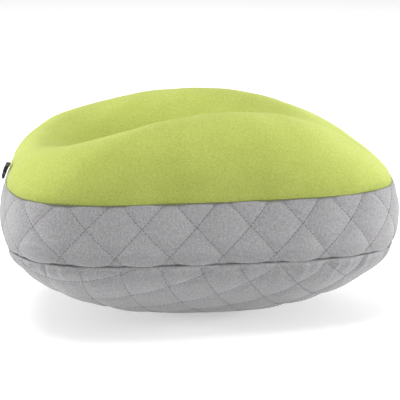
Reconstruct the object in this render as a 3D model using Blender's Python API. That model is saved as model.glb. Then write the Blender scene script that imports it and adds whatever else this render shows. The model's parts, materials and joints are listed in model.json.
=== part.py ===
"""Contoured camp pillow: a zip-off cover of three panels over a lined foam core.

Metres, +Z up. The origin is the middle of the flat patch that the pillow rests on, +X runs along its
length towards the narrow end, and the head hollow opens towards -X. The zip is on the +Y side.
"""

import math

import bmesh
import bpy
import numpy as np
from mathutils import Matrix, Vector

# Plan of the pillow at the widest line of its side band
HALF_LENGTH = 0.1825
HALF_DEPTH = 0.137
PLAN_POWER = 3.5  # 2 is an ellipse, more is squarer
PLAN_TAPER = 0.30  # how much deeper the -X end is, and how much narrower the +X end

# Heights of the two seams, and how far they fall from the middle to the +X end
LOWER_SEAM_HEIGHT = 0.0707
BAND_HEIGHT = 0.0553
LOWER_SEAM_FALL = 0.0055
UPPER_SEAM_FALL = 0.0032
LOWER_SEAM_INSET = 0.0048  # how far the seams pull in from the band's widest line
UPPER_SEAM_INSET = 0.0055

# Belly under the lower seam, down to the flat patch that rests on the ground
BELLY_POWER = 1.83
BELLY_ROUNDNESS = 1.53
REST_SHARE = 0.25

# Crown above the upper seam, and the head hollow pressed into it
CROWN_HEIGHT = 0.0763
CROWN_POWER = 3.69
CROWN_ROUNDNESS = 1.347
CROWN_LEAN = 0.199
CROWN_DROOP = 0.366
HOLLOW_DEPTH = 0.0800
HOLLOW_CENTRE = -0.438  # along X, as a share of the half length
HOLLOW_REACH_MOUTH = 0.354
HOLLOW_REACH_CLOSED = 0.610
HOLLOW_WIDTH = 0.359
HOLLOW_FLARE = 0.777

# Thickness of each layer of fabric, and the gap left between neighbours
TOP_FABRIC = 0.0022
BAND_FABRIC = 0.0014
WADDING = 0.0030
BACKING = 0.0008
LINER = 0.0008
LAYER_GAP = 0.0003
BINDING_THICKNESS = 0.0030
BINDING_HEIGHT = 0.0060
FOAM_EASE = 0.0008  # the foam's edge stands this much further back behind the seams

# Zip along the lower seam on the +Y side
ZIP_BEARING = 90  # degrees round from +X
ZIP_LENGTH = 0.150
ZIP_END_TAB = 0.0117
ZIP_SLOT_HEIGHT = 0.0140
ZIP_SLOT_DEPTH = 0.0280
ZIP_RECESS = 0.0028  # from the seam's outer face at mid zip back to the tape's front
ZIP_TAPE = 0.0008
ZIP_SLIT = 0.0016
ZIP_CLEARANCE = 0.0003
ZIP_STOP_LENGTH = 0.0025
TOOTH_PITCH = 0.0030
TOOTH_WIDTH = 0.0017
TOOTH_REACH = 0.0012
TOOTH_ROOT = 0.0009
TOOTH_DEPTH = 0.0020
SLIDER_LENGTH = 0.010
SLIDER_PLATE = 0.0010
SLIDER_POST_LENGTH = 0.0035
SLIDER_POST_INSET = 0.0005
SLIDER_END_GAP = 0.0035  # from the closed slider's nose to the top stops
PULL_LENGTH = 0.024
PULL_WIDTH = 0.0064
PULL_THICKNESS = 0.0012
PULL_PIN_RADIUS = 0.0006
PULL_EYE_WALL = 0.0006
PULL_EYE_WIDTH = 0.0034
EAR_THICKNESS = 0.0008

# Webbing loop in the upper seam at the -X end
LOOP_BEARING = 193  # degrees round from +X
LOOP_WIDTH = 0.018
LOOP_RISE = 0.0115
LOOP_LEAN = 0.0050
LOOP_SPREAD = 0.0034
LOOP_TAPE = 0.0012
LOOP_STANDOFF = 0.0023
LOOP_ROLL = 0.0015

# Care label in the lower seam, between the zip and the +X end
LABEL_BEARING = 56  # degrees round from +X
LABEL_WIDTH = 0.020
LABEL_DROP = 0.026
LABEL_THICKNESS = 0.0005
LABEL_STANDOFF = 0.0006

COLUMNS = 32  # facets round the pillow

# Worked out from the sizes above
QUILT = BAND_FABRIC + WADDING + BACKING + 2 * LAYER_GAP
TEETH_HEIGHT = ZIP_SLIT / 2 + TOOTH_REACH + TOOTH_ROOT  # from the zip's middle to a comb's outer edge
TAPE_BACK = -ZIP_RECESS - ZIP_TAPE
TEETH_BACK = -ZIP_RECESS + ZIP_CLEARANCE
TEETH_FRONT = TEETH_BACK + TOOTH_DEPTH

COLOURS = {  # red, green, blue, roughness
    "green_plush": (0.53, 0.61, 0.13, 0.95),
    "grey_jersey": (0.42, 0.42, 0.43, 0.90),
    "wadding": (0.85, 0.85, 0.84, 1.00),
    "backing": (0.75, 0.75, 0.75, 0.95),
    "liner": (0.88, 0.88, 0.86, 0.90),
    "foam": (0.86, 0.82, 0.66, 0.95),
    "binding": (0.30, 0.30, 0.31, 0.90),
    "zip_tape": (0.33, 0.33, 0.34, 0.85),
    "zip_resin": (0.25, 0.25, 0.26, 0.50),
    "zip_metal": (0.10, 0.10, 0.11, 0.45),
    "black_webbing": (0.010, 0.010, 0.011, 0.75),
    "label_satin": (0.80, 0.80, 0.80, 0.50),
}


def clear_scene():
    for obj in list(bpy.data.objects):
        bpy.data.objects.remove(obj, do_unlink=True)


def make_materials():
    made = {}
    for name, (red, green, blue, roughness) in COLOURS.items():
        material = bpy.data.materials.new(name)
        material.use_nodes = True
        shader = material.node_tree.nodes["Principled BSDF"]
        shader.inputs["Base Color"].default_value = (red, green, blue, 1)
        shader.inputs["Roughness"].default_value = roughness
        shader.inputs["Metallic"].default_value = 0.6 if name == "zip_metal" else 0
        made[name] = material
    return made


# The pillow's outer face: a crown, a band and a belly that share the plan outline


def plan(share, angle):
    """The plan direction at this angle, as shares of the half length and half depth."""
    cos, sin = math.cos(angle), math.sin(angle)
    reach = (abs(cos) ** PLAN_POWER + abs(sin) ** PLAN_POWER) ** (-1 / PLAN_POWER)
    return share * reach * cos, share * reach * sin


def place(along, across, inset, height):
    x = (HALF_LENGTH - inset) * along
    y = (HALF_DEPTH - inset) * (1 - PLAN_TAPER * along) * across
    return np.array([x, y, height])


def lower_seam(along):
    return LOWER_SEAM_HEIGHT - LOWER_SEAM_FALL * along


def upper_seam(along):
    return LOWER_SEAM_HEIGHT + BAND_HEIGHT - UPPER_SEAM_FALL * along


def crown(share, angle):
    """The top panel's face: a dome with the head hollow pressed into it."""
    along, across = plan(share, angle)
    dome = max(0, 1 - share**CROWN_POWER) ** (1 / CROWN_ROUNDNESS)
    rise = CROWN_HEIGHT * (1 - CROWN_LEAN * along - CROWN_DROOP * along**2)
    reach = HOLLOW_REACH_MOUTH if along < HOLLOW_CENTRE else HOLLOW_REACH_CLOSED
    lengthwise = (along - HOLLOW_CENTRE) / reach
    crosswise = across / (HOLLOW_WIDTH * (1 - HOLLOW_FLARE * along))
    hollow = HOLLOW_DEPTH * math.exp(-(lengthwise**2) - crosswise**2)
    height = upper_seam(along) + LAYER_GAP / 2 + dome * (rise - hollow)
    return place(along, across, UPPER_SEAM_INSET, height)


def band(level, angle):
    """The side band's face, from the lower seam at 0 to the upper seam at 1."""
    along, across = plan(1, angle)
    seam_inset = LOWER_SEAM_INSET * (1 - level) + UPPER_SEAM_INSET * level
    bulge = (LOWER_SEAM_INSET + UPPER_SEAM_INSET) / 2 * 4 * level * (1 - level)
    low = lower_seam(along) + LAYER_GAP / 2
    high = upper_seam(along) - LAYER_GAP / 2
    return place(along, across, seam_inset - bulge, low + (high - low) * level)


def belly_rise(share):
    return 1 - max(0, 1 - share**BELLY_POWER) ** (1 / BELLY_ROUNDNESS)


def belly(share, angle):
    """The bottom panel's face, from the middle at 0 to the lower seam at 1."""
    along, across = plan(share, angle)
    rim = lower_seam(plan(1, angle)[0]) - LAYER_GAP / 2
    rest = belly_rise(REST_SHARE)
    lift = max(0, (belly_rise(share) - rest) / (1 - rest))
    return place(along, across, LOWER_SEAM_INSET, rim * lift)


def share_below_rim(drop, height, power, roundness):
    """The plan share at which a dome of this height has come this far from its rim."""
    return (1 - (drop / height) ** roundness) ** (1 / power)


BAND_EDGE = BINDING_HEIGHT / 2 / BAND_HEIGHT
CROWN_EDGE = share_below_rim(BINDING_HEIGHT / 2, CROWN_HEIGHT, CROWN_POWER, CROWN_ROUNDNESS)
BELLY_EDGE = share_below_rim(BINDING_HEIGHT / 2, LOWER_SEAM_HEIGHT, BELLY_POWER, BELLY_ROUNDNESS)
LINER_SPLIT = LAYER_GAP / BAND_HEIGHT / 2

UPPER_SEAM_PATH = [(crown, CROWN_EDGE), (crown, 1), (band, 1), (band, 1 - BAND_EDGE)]
LOWER_SEAM_PATH = [(band, BAND_EDGE), (band, 0), (belly, 1), (belly, BELLY_EDGE)]
CROWN_STEP = 0.955
CROWN_ROWS = (0, 0.12, 0.24, 0.35, 0.45, 0.54, 0.63, 0.71, 0.79, 0.88, 0.93, CROWN_STEP, CROWN_EDGE, 1)
CROWN_PATH = [(crown, row) for row in CROWN_ROWS]
BAND_PATH = [(band, row) for row in (1, 1 - BAND_EDGE, 0.75, 0.5, 0.25, BAND_EDGE, 0)]
BELLY_PATH = [(belly, row) for row in (1, BELLY_EDGE, 0.96, 0.88, 0.72, 0.50, REST_SHARE, 0)]


def outward(region, row, angle):
    """Unit normal of a region's face."""
    small = 0.002
    low = max(row - small, 0)
    high = min(low + 2 * small, 1)
    row = max(row, small)
    along_rows = region(high, angle) - region(low, angle)
    round_row = region(row, angle + small) - region(row, angle - small)
    normal = np.cross(along_rows, round_row) * (1 if region is crown else -1)
    return normal / np.linalg.norm(normal)


def is_middle(region, row):
    return row == 0 and region is not band


def is_by_seam(region, row):
    return (region, row) in UPPER_SEAM_PATH + LOWER_SEAM_PATH


def liner_depth(region, row):
    """Depth of the liner's outer face, which passes behind the seam bindings."""
    behind_binding = QUILT + BINDING_THICKNESS + 2 * LAYER_GAP
    behind_cover = LAYER_GAP + (TOP_FABRIC if region is crown else QUILT)
    if is_by_seam(region, row):
        return behind_binding
    if (region, row) == (crown, CROWN_STEP):
        return (behind_binding + behind_cover) / 2
    return behind_cover


def ring(region, row, depth):
    """Points at this depth under a row of a region's face, or one point at its middle."""
    points = []
    for column in range(1 if is_middle(region, row) else COLUMNS):
        angle = column * 2 * math.pi / COLUMNS
        face = region(row, angle)
        if region is belly and row <= REST_SHARE:
            points.append(face + (0, 0, depth))
        else:
            points.append(face - depth * outward(region, row, angle))
    return points


# From points to Blender objects


def add_object(name, builder, material, parent=None):
    bmesh.ops.recalc_face_normals(builder, faces=builder.faces)
    mesh = bpy.data.meshes.new(name)
    builder.to_mesh(mesh)
    builder.free()
    if material:
        mesh.materials.append(material)
    obj = bpy.data.objects.new(name, mesh)
    bpy.context.scene.collection.objects.link(obj)
    obj.parent = parent
    return obj


def add_empty(name, parent=None, location=(0, 0, 0)):
    empty = bpy.data.objects.new(name, None)
    bpy.context.scene.collection.objects.link(empty)
    empty.parent = parent
    empty.location = location
    return empty


def helper(obj):
    """Marks an object as a tool of the Booleans, which isn't a piece of the pillow."""
    obj.hide_render = True
    obj.display_type = "WIRE"
    return obj


def boolean(obj, operation, other):
    modifier = obj.modifiers.new(f"{operation.lower()}_{other.name}", "BOOLEAN")
    modifier.operation = operation
    modifier.object = helper(other)


def bridge(builder, first, second):
    """Triangles between two rings of vertices, either of which may be a single point.

    Every quad is cut along the same diagonal, so that the layers of the pillow stay parallel.
    """
    for i in range(max(len(first), len(second))):
        j = (i + 1) % max(len(first), len(second))
        if len(first) > 1:
            builder.faces.new((first[i], first[j], second[j % len(second)]))
        if len(second) > 1:
            builder.faces.new((first[i % len(first)], second[j], second[i]))


def closed_skin(name, sheets, material):
    """One closed body from one sheet of rings, or from an outer and an inner sheet."""
    builder = bmesh.new()
    made = []
    for sheet in sheets:
        rows = [[builder.verts.new(point) for point in points] for points in sheet]
        for first, second in zip(rows, rows[1:]):
            bridge(builder, first, second)
        made.append(rows)
    for end in (0, -1):
        if len(made[0][end]) > 1:
            bridge(builder, made[0][end], made[-1][end])
    obj = add_object(name, builder, material)
    obj.data.shade_smooth()
    obj.data.set_sharp_from_angle(angle=math.radians(50))
    return obj


def layer(name, path, depth, thickness, material):
    """A layer of fabric under the rows of a path, whose depth may depend on the row."""
    outer, inner = [], []
    for region, row in path:
        start = depth(region, row) if callable(depth) else depth
        outer.append(ring(region, row, start))
        inner.append(ring(region, row, start + thickness))
    return closed_skin(name, [outer, inner], material)


def box(name, low, high, material, parent, bevel=0):
    size = np.subtract(high, low)
    centre = np.add(high, low) / 2
    builder = bmesh.new()
    matrix = Matrix.Translation(centre) @ Matrix.Diagonal((*size, 1))
    bmesh.ops.create_cube(builder, size=1, matrix=matrix)
    obj = add_object(name, builder, material, parent)
    if bevel:
        edges = obj.modifiers.new("soft_edges", "BEVEL")
        edges.width = bevel
        edges.segments = 1
    return obj


def cylinder(name, radius, half_length, material, parent, place_at=(0, 0, 0), segments=16):
    """A cylinder along its parent's Z."""
    builder = bmesh.new()
    bmesh.ops.create_cone(
        builder, cap_ends=True, segments=segments, radius1=radius, radius2=radius,
        depth=2 * half_length, matrix=Matrix.Translation(place_at),
    )
    return add_object(name, builder, material, parent)


def prism(name, outline, axis, low, high, material, parent):
    """A prism of an outline in the plane across an axis, between two places on that axis."""
    builder = bmesh.new()
    ends = [[builder.verts.new(np.insert(point, axis, at)) for point in outline] for at in (low, high)]
    bridge(builder, *ends)
    for end in ends:
        builder.faces.new(end)
    return add_object(name, builder, material, parent)


def seam_frame(name, seam, inset, bearing):
    """An empty on a seam, with its X along the seam, its Y outwards and its Z up."""
    step = 0.01

    def on_seam(angle):
        along, across = plan(1, angle)
        return Vector(place(along, across, inset, seam(along)))

    angle = math.radians(bearing)
    tangent = (on_seam(angle - step) - on_seam(angle + step)).normalized()
    out = Vector((0, 0, 1)).cross(tangent).normalized()
    turn = Matrix((tangent, out, tangent.cross(out))).transposed().to_4x4()
    empty = add_empty(name)
    empty.matrix_world = Matrix.Translation(on_seam(angle)) @ turn
    return empty


# The pieces


def make_top_panel(material):
    layer("top_panel", CROWN_PATH, 0, TOP_FABRIC, material)


def make_quilted_panel(name, path, materials):
    """A panel's three quilted layers: its face fabric, the wadding and the backing."""
    wadding_depth = BAND_FABRIC + LAYER_GAP
    backing_depth = wadding_depth + WADDING + LAYER_GAP
    return [
        layer(name, path, 0, BAND_FABRIC, materials["grey_jersey"]),
        layer(f"{name}_wadding", path, wadding_depth, WADDING, materials["wadding"]),
        layer(f"{name}_backing", path, backing_depth, BACKING, materials["backing"]),
    ]


def make_bindings(material):
    """The taped seam allowances, one behind each seam."""
    depth = QUILT + LAYER_GAP
    layer("upper_seam_binding", UPPER_SEAM_PATH, depth, BINDING_THICKNESS, material)
    return layer("lower_seam_binding", LOWER_SEAM_PATH, depth, BINDING_THICKNESS, material)


def make_liner(material):
    """The foam's own case, in two halves that meet half way up the band."""
    upper = CROWN_PATH + BAND_PATH[:3] + [(band, 0.5 + LINER_SPLIT)]
    lower = [(band, 0.5 - LINER_SPLIT)] + BAND_PATH[4:] + BELLY_PATH
    layer("liner_top", upper, liner_depth, LINER, material)
    layer("liner_bottom", lower, liner_depth, LINER, material)


def make_foam_core(material):
    rings = []
    for region, row in CROWN_PATH + BAND_PATH + BELLY_PATH:
        ease = FOAM_EASE if is_by_seam(region, row) or row == CROWN_STEP else 0
        rings.append(ring(region, row, liner_depth(region, row) + LINER + LAYER_GAP + ease))
    closed_skin("foam_core", [rings], material)


def make_zip(materials, panels):
    """The zip, which lies straight in a slot cut in the seam behind it."""
    middle = seam_frame("zip_middle", lower_seam, LOWER_SEAM_INSET, ZIP_BEARING)
    half = ZIP_LENGTH / 2
    slot_end = half + ZIP_END_TAB + LAYER_GAP
    slot_edge = ZIP_SLOT_HEIGHT / 2
    corner = np.array([slot_end, ZIP_SLOT_DEPTH / 2, slot_edge])
    slot = box("zip_slot", -corner, corner, None, middle)
    for panel in panels:
        boolean(panel, "DIFFERENCE", slot)

    tape_edge = slot_edge - LAYER_GAP
    make_zip_side("upper", 1, tape_edge, materials, middle)
    make_zip_side("lower", -1, tape_edge, materials, middle)
    box(
        "zip_bottom_stop", (-half, TEETH_BACK, -TEETH_HEIGHT),
        (-half + ZIP_STOP_LENGTH, TEETH_FRONT, TEETH_HEIGHT), materials["zip_metal"], middle, bevel=0.0003,
    )
    for side, sign in (("left", -1), ("right", 1)):
        ends = sorted((sign * (half + LAYER_GAP), sign * (half + ZIP_END_TAB)))
        box(
            f"zip_end_tab_{side}", (ends[0], TAPE_BACK, -tape_edge), (ends[1], -ZIP_RECESS, tape_edge),
            materials["grey_jersey"], middle,
        )
    make_slider(materials["zip_metal"], middle)


def make_zip_side(side, sign, tape_edge, materials, middle):
    """One side of the zip: its tape, its comb of teeth and its top stop."""
    half = ZIP_LENGTH / 2
    slit = ZIP_SLIT / 2
    low, high = sorted((sign * slit, sign * tape_edge))
    box(f"zip_tape_{side}", (-half, TAPE_BACK, low), (half, -ZIP_RECESS, high), materials["zip_tape"], middle)
    low, high = sorted((sign * slit, sign * TEETH_HEIGHT))
    box(
        f"zip_top_stop_{side}", (half - ZIP_STOP_LENGTH, TEETH_BACK, low), (half, TEETH_FRONT, high),
        materials["zip_metal"], middle, bevel=0.0003,
    )
    span = ZIP_LENGTH - 2 * (ZIP_STOP_LENGTH + ZIP_CLEARANCE)
    count = int(span / TOOTH_PITCH)
    start = -count * TOOTH_PITCH / 2
    tip, root, back = sign * slit, sign * (slit + TOOTH_REACH), sign * TEETH_HEIGHT
    outline = [(start + count * TOOTH_PITCH, back), (start, back)]
    for tooth in range(count):
        left = start + tooth * TOOTH_PITCH + (TOOTH_PITCH - TOOTH_WIDTH) / 2
        right = left + TOOTH_WIDTH
        outline += [(left, root), (left, tip), (right, tip), (right, root)]
    prism(f"zip_teeth_{side}", outline, 1, TEETH_BACK, TEETH_FRONT, materials["zip_resin"], middle)


def make_slider(material, zip_middle):
    """The slider, parked at the closed end, and the pull on its cross pin."""
    nose = ZIP_LENGTH / 2 - ZIP_STOP_LENGTH - SLIDER_END_GAP
    slider = add_empty("zip_slider_place", zip_middle, (nose - SLIDER_LENGTH / 2, 0, 0))
    half = SLIDER_LENGTH / 2
    cheek = TEETH_HEIGHT + ZIP_CLEARANCE
    edge = cheek + SLIDER_PLATE
    front_low = TEETH_FRONT + ZIP_CLEARANCE
    front = front_low + SLIDER_PLATE
    rear_high = TAPE_BACK - ZIP_CLEARANCE
    cheek_low = -ZIP_RECESS + ZIP_CLEARANCE
    bite = SLIDER_PLATE / 4  # how far the slider's own pieces run into each other
    post = ZIP_SLIT / 2 - ZIP_CLEARANCE
    post_end = half - SLIDER_POST_INSET
    eye_radius = PULL_PIN_RADIUS + ZIP_CLEARANCE + PULL_EYE_WALL
    pin_at = front + ZIP_CLEARANCE + eye_radius
    ear_low = PULL_EYE_WIDTH / 2 + ZIP_CLEARANCE
    ear_high = ear_low + EAR_THICKNESS

    body = box("zip_slider", (-half, front_low, -edge), (half, front, edge), material, slider)
    pieces = {
        "rear_plate": ((-half, rear_high - SLIDER_PLATE, -edge), (half, rear_high, edge)),
        "post": (
            (post_end - SLIDER_POST_LENGTH, rear_high - bite, -post),
            (post_end, front_low + bite, post),
        ),
    }
    for side, sign in (("upper", 1), ("lower", -1)):
        low, high = sorted((sign * cheek, sign * edge))
        pieces[f"cheek_{side}"] = (-half, cheek_low, low), (half, front_low + bite, high)
        low, high = sorted((sign * ear_low, sign * ear_high))
        pieces[f"ear_{side}"] = (-eye_radius, front - bite, low), (eye_radius, pin_at + eye_radius, high)
    for name, (low, high) in pieces.items():
        boolean(body, "UNION", box(f"slider_{name}", low, high, None, slider))
    pin_half = ear_high - EAR_THICKNESS / 2
    pin = cylinder("slider_pin", PULL_PIN_RADIUS, pin_half, None, slider, (0, pin_at, 0), 12)
    boolean(body, "UNION", pin)
    make_pull(material, add_empty("zip_pull_axis", slider, (0, pin_at, 0)), eye_radius)


def make_pull(material, axis, eye_radius):
    """The pull: an eye round the slider's pin, a neck and a flat blade."""
    eye_half = PULL_EYE_WIDTH / 2
    bore = PULL_PIN_RADIUS + ZIP_CLEARANCE
    thick = PULL_THICKNESS / 2
    shoulder = -eye_radius - 2 * ZIP_CLEARANCE
    pull = cylinder("zip_pull", eye_radius, eye_half, material, axis)
    neck = box("pull_neck", (shoulder - thick, -thick, -eye_half), (-bore, thick, eye_half), None, axis)
    blade_edge = PULL_WIDTH / 2
    blade = box("pull_blade", (-PULL_LENGTH, -thick, -blade_edge), (shoulder, thick, blade_edge), None, axis)
    boolean(pull, "UNION", neck)
    boolean(pull, "UNION", blade)
    boolean(pull, "DIFFERENCE", cylinder("pull_bore", bore, PULL_EYE_WIDTH, None, axis, segments=12))


def make_hang_loop(material):
    """A folded loop of webbing that stands up from the upper seam, hinged on its sewn foot."""
    seam = seam_frame("hang_loop_seam", upper_seam, UPPER_SEAM_INSET, LOOP_BEARING)
    hinge = add_empty("hang_loop_hinge", seam, (0, LOOP_STANDOFF, LOOP_ROLL))
    levels = [i / 10 for i in range(11)]

    def outline(inset):
        """The loop's side view, this far inside its outer face, as outward and up."""
        legs = []
        for level in levels:
            spread = LOOP_SPREAD * math.sin(math.pi * level**0.7) ** 0.7
            reach = max(spread / 2, LOOP_TAPE) - inset
            legs.append((-LOOP_LEAN * level**1.6, LOOP_RISE * level, reach))
        kept = [leg for leg in legs if leg[2] > LAYER_GAP]
        front = [(lean + reach, height) for lean, height, reach in kept]
        rear = [(lean - reach, height) for lean, height, reach in kept]
        return front + rear[::-1]

    loop = prism("hang_loop", outline(0), 0, -LOOP_WIDTH / 2, LOOP_WIDTH / 2, material, hinge)
    gap = prism("loop_gap", outline(LOOP_TAPE), 0, -LOOP_WIDTH, LOOP_WIDTH, None, hinge)
    boolean(loop, "DIFFERENCE", gap)


def make_care_label(material):
    seam = seam_frame("care_label_seam", lower_seam, LOWER_SEAM_INSET, LABEL_BEARING)
    hinge = add_empty("care_label_hinge", seam, (0, LABEL_STANDOFF, 0))
    half = LABEL_WIDTH / 2
    box("care_label", (-half, 0, -LABEL_DROP), (half, LABEL_THICKNESS, 0), material, hinge)


def main():
    clear_scene()
    materials = make_materials()
    make_top_panel(materials["green_plush"])
    side = make_quilted_panel("side_band", BAND_PATH, materials)
    bottom = make_quilted_panel("bottom_panel", BELLY_PATH, materials)
    lower_binding = make_bindings(materials["binding"])
    make_liner(materials["liner"])
    make_foam_core(materials["foam"])
    make_zip(materials, [*side, *bottom, lower_binding])
    make_hang_loop(materials["black_webbing"])
    make_care_label(materials["label_satin"])


main()
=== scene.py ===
import json
import math

import bmesh
import bpy
import numpy as np
from mathutils import Matrix, Vector

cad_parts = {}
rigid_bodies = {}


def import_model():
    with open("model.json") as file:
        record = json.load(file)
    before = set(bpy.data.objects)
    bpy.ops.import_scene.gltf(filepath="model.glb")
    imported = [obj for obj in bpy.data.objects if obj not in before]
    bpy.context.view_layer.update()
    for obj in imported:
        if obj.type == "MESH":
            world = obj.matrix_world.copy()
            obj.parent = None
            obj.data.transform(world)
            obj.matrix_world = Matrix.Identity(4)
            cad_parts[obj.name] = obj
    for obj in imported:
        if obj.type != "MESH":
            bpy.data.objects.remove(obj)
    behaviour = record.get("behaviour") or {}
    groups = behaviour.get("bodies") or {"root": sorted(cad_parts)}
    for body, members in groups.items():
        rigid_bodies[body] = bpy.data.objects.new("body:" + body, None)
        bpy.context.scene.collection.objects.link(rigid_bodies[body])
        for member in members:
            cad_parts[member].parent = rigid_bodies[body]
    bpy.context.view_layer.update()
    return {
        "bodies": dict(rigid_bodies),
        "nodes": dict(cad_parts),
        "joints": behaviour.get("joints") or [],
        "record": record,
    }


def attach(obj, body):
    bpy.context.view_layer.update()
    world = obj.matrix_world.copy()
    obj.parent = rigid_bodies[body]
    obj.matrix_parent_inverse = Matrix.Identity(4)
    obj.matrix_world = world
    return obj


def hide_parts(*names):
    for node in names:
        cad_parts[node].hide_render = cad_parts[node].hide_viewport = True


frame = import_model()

print("frame loaded:", len(frame["nodes"]), "nodes")

# The pillow's outline and heights, in metres. The plan is a soft square that narrows towards +X.
pillow = {
    "halfLength": 0.1825,
    "halfDepth": 0.137,
    "planPower": 3.5,
    "taper": 0.30,
    "lowerSeam": 0.0707,
    "lowerSeamFall": 0.0055,
    "lowerInset": 0.0048,
    "upperSeam": 0.1260,
    "upperSeamFall": 0.0032,
    "upperInset": 0.0055,
}
crownShape = {
    "height": 0.0763,
    "power": 3.69,
    "roundness": 1.347,
    "lean": 0.199,
    "droop": 0.366,
    "hollowDepth": 0.0800,
    "hollowCentre": -0.438,
    "hollowMouth": 0.354,
    "hollowClosed": 0.610,
    "hollowWidth": 0.359,
    "hollowFlare": 0.777,
}
bellyShape = {"power": 1.83, "roundness": 1.53, "restShare": 0.25}
layers = {  # thickness of each layer of cloth, and the gap between neighbours
    "plush": 0.0022,
    "jersey": 0.0014,
    "wadding": 0.0030,
    "backing": 0.0008,
    "liner": 0.0008,
    "gap": 0.0003,
}
quiltDepth = layers["jersey"] + layers["wadding"] + layers["backing"] + 2 * layers["gap"]
bandHeight = pillow["upperSeam"] - pillow["lowerSeam"]


def turnsOf(count):
    return np.arange(count) * 2 * math.pi / count


def lengthOf(vectors):
    return np.linalg.norm(vectors, axis=-1)


def unit(vectors):
    return vectors / np.linalg.norm(vectors, axis=-1, keepdims=True)


# The pillow's smooth face, as functions of arrays


def planPoint(share, angle):
    cos, sin = np.cos(angle), np.sin(angle)
    power = pillow["planPower"]
    reach = (np.abs(cos) ** power + np.abs(sin) ** power) ** (-1 / power)
    return share * reach * cos, share * reach * sin


def placed(along, across, inset, height):
    x = (pillow["halfLength"] - inset) * along
    y = (pillow["halfDepth"] - inset) * (1 - pillow["taper"] * along) * across
    return np.stack(np.broadcast_arrays(x, y, height), axis=-1)


def lowerSeam(along):
    return pillow["lowerSeam"] - pillow["lowerSeamFall"] * along


def upperSeam(along):
    return pillow["upperSeam"] - pillow["upperSeamFall"] * along


def crownFace(share, angle):
    c = crownShape
    along, across = planPoint(share, angle)
    dome = np.maximum(0, 1 - share ** c["power"]) ** (1 / c["roundness"])
    rise = c["height"] * (1 - c["lean"] * along - c["droop"] * along**2)
    reach = np.where(along < c["hollowCentre"], c["hollowMouth"], c["hollowClosed"])
    lengthwise = (along - c["hollowCentre"]) / reach
    crosswise = across / (c["hollowWidth"] * (1 - c["hollowFlare"] * along))
    hollow = c["hollowDepth"] * np.exp(-(lengthwise**2) - crosswise**2)
    return placed(along, across, pillow["upperInset"], upperSeam(along) + dome * (rise - hollow))


def bandFace(level, angle):
    along, across = planPoint(1, angle)
    low, high = pillow["lowerInset"], pillow["upperInset"]
    inset = low * (1 - level) + high * level - (low + high) * 2 * level * (1 - level)
    return placed(along, across, inset, lowerSeam(along) * (1 - level) + upperSeam(along) * level)


def bellyRise(share):
    return 1 - np.maximum(0, 1 - share ** bellyShape["power"]) ** (1 / bellyShape["roundness"])


def bellyFace(share, angle):
    along, across = planPoint(share, angle)
    rest = bellyRise(bellyShape["restShare"])
    lift = np.maximum(0, (bellyRise(share) - rest) / (1 - rest))
    return placed(along, across, pillow["lowerInset"], lowerSeam(planPoint(1, angle)[0]) * lift)


def faceNormal(face, row, angle):
    small = 0.0015
    low = np.clip(row - small, 0, 1 - 2 * small)
    alongRows = face(low + 2 * small, angle) - face(low, angle)
    turned = np.maximum(row, small) if face is not bandFace else row
    roundRow = face(turned, angle + small) - face(turned, angle - small)
    normal = np.cross(alongRows, roundRow) * (1 if face is crownFace else -1)
    return unit(normal)


# How each panel's cloth lies on that face


arcTurn = np.linspace(0, 2 * math.pi, 4001)
arcRing = bandFace(0.5, arcTurn)
arcLength = np.concatenate([[0], np.cumsum(lengthOf(np.diff(arcRing, axis=0)))])
rimRing = bellyFace(1, arcTurn)
rimBearing = np.unwrap(np.arctan2(rimRing[:, 1], rimRing[:, 0]))

bandQuilt = {
    "count": 23,  # diamonds round the band
    "crossingAngle": math.radians(268),
    "crossingLevel": 0.63,
    "halfHeight": 0.0268,
    "puff": 0.0017,
    "crease": 0.0030,
}
bellyQuilt = {
    "rows": (  # bearing, spacing and offset of each set of lines
        (math.radians(68), 0.035, 0.056),
        (math.radians(161.7), 0.036, -0.143),
    ),
    "puff": 0.0020,
    "crease": 0.0034,
}
restLevel = 0.55  # the share of a puff that stands below the smooth face
seamRoll = {"tuck": 0.0009, "reach": 0.0030, "gather": 0.0011, "gatherStart": 0.002}
ripple = ((0.0113, 0.9), (0.0172, 1.0), (0.0067, 0.5), (0.031, 0.7))  # length and share of each wave
clothLie = {  # gathers at a seam: share, reach, power and seed; broad waves: height, size and seed
    "band": {"gathers": (0.25, 0.008, 1, 0.4), "waves": (0.0006, 0.035, 1.0)},
    "belly": {"gathers": (1.0, 0.018, 2, 2.2), "waves": (0.0006, 0.040, 2.0)},
    "crown": {"gathers": (0.28, 0.011, 2, 4.1), "waves": (0.0008, 0.030, 0.3)},
}


def arcAt(angle):
    return np.interp(np.mod(angle, 2 * math.pi), arcTurn, arcLength)


def nearestLine(value):
    return np.abs(value - np.round(value))


def pinched(distance, crease):
    # 0 on a stitched line, 1 in the open cloth
    near = 1 - np.exp(-((distance / crease) ** 1.3))
    return 0.6 * near + 0.4 * (1 - np.exp(-((distance / (3.2 * crease)) ** 2)))


def bandLattice(level, angle):
    pitch = arcLength[-1] / bandQuilt["count"]
    along = (arcAt(angle) - arcAt(bandQuilt["crossingAngle"])) / pitch
    up = (level - bandQuilt["crossingLevel"]) * bandHeight / (2 * bandQuilt["halfHeight"])
    spacing = pitch / math.hypot(1, pitch / (2 * bandQuilt["halfHeight"]))
    return nearestLine(along + up) * spacing, nearestLine(along - up) * spacing


def bellyFlat(share, angle, steps=48):
    # flat coordinates of the belly's cloth: the way down from the middle, at the rim's bearing
    walk = np.linspace(0, 1, steps).reshape((-1,) + (1,) * np.ndim(angle))
    points = bellyFace(walk * share, angle)
    length = lengthOf(np.diff(points, axis=0)).sum(axis=0)
    bearing = np.interp(np.mod(angle, 2 * math.pi), arcTurn, rimBearing)
    return length * np.cos(bearing), length * np.sin(bearing)


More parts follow.
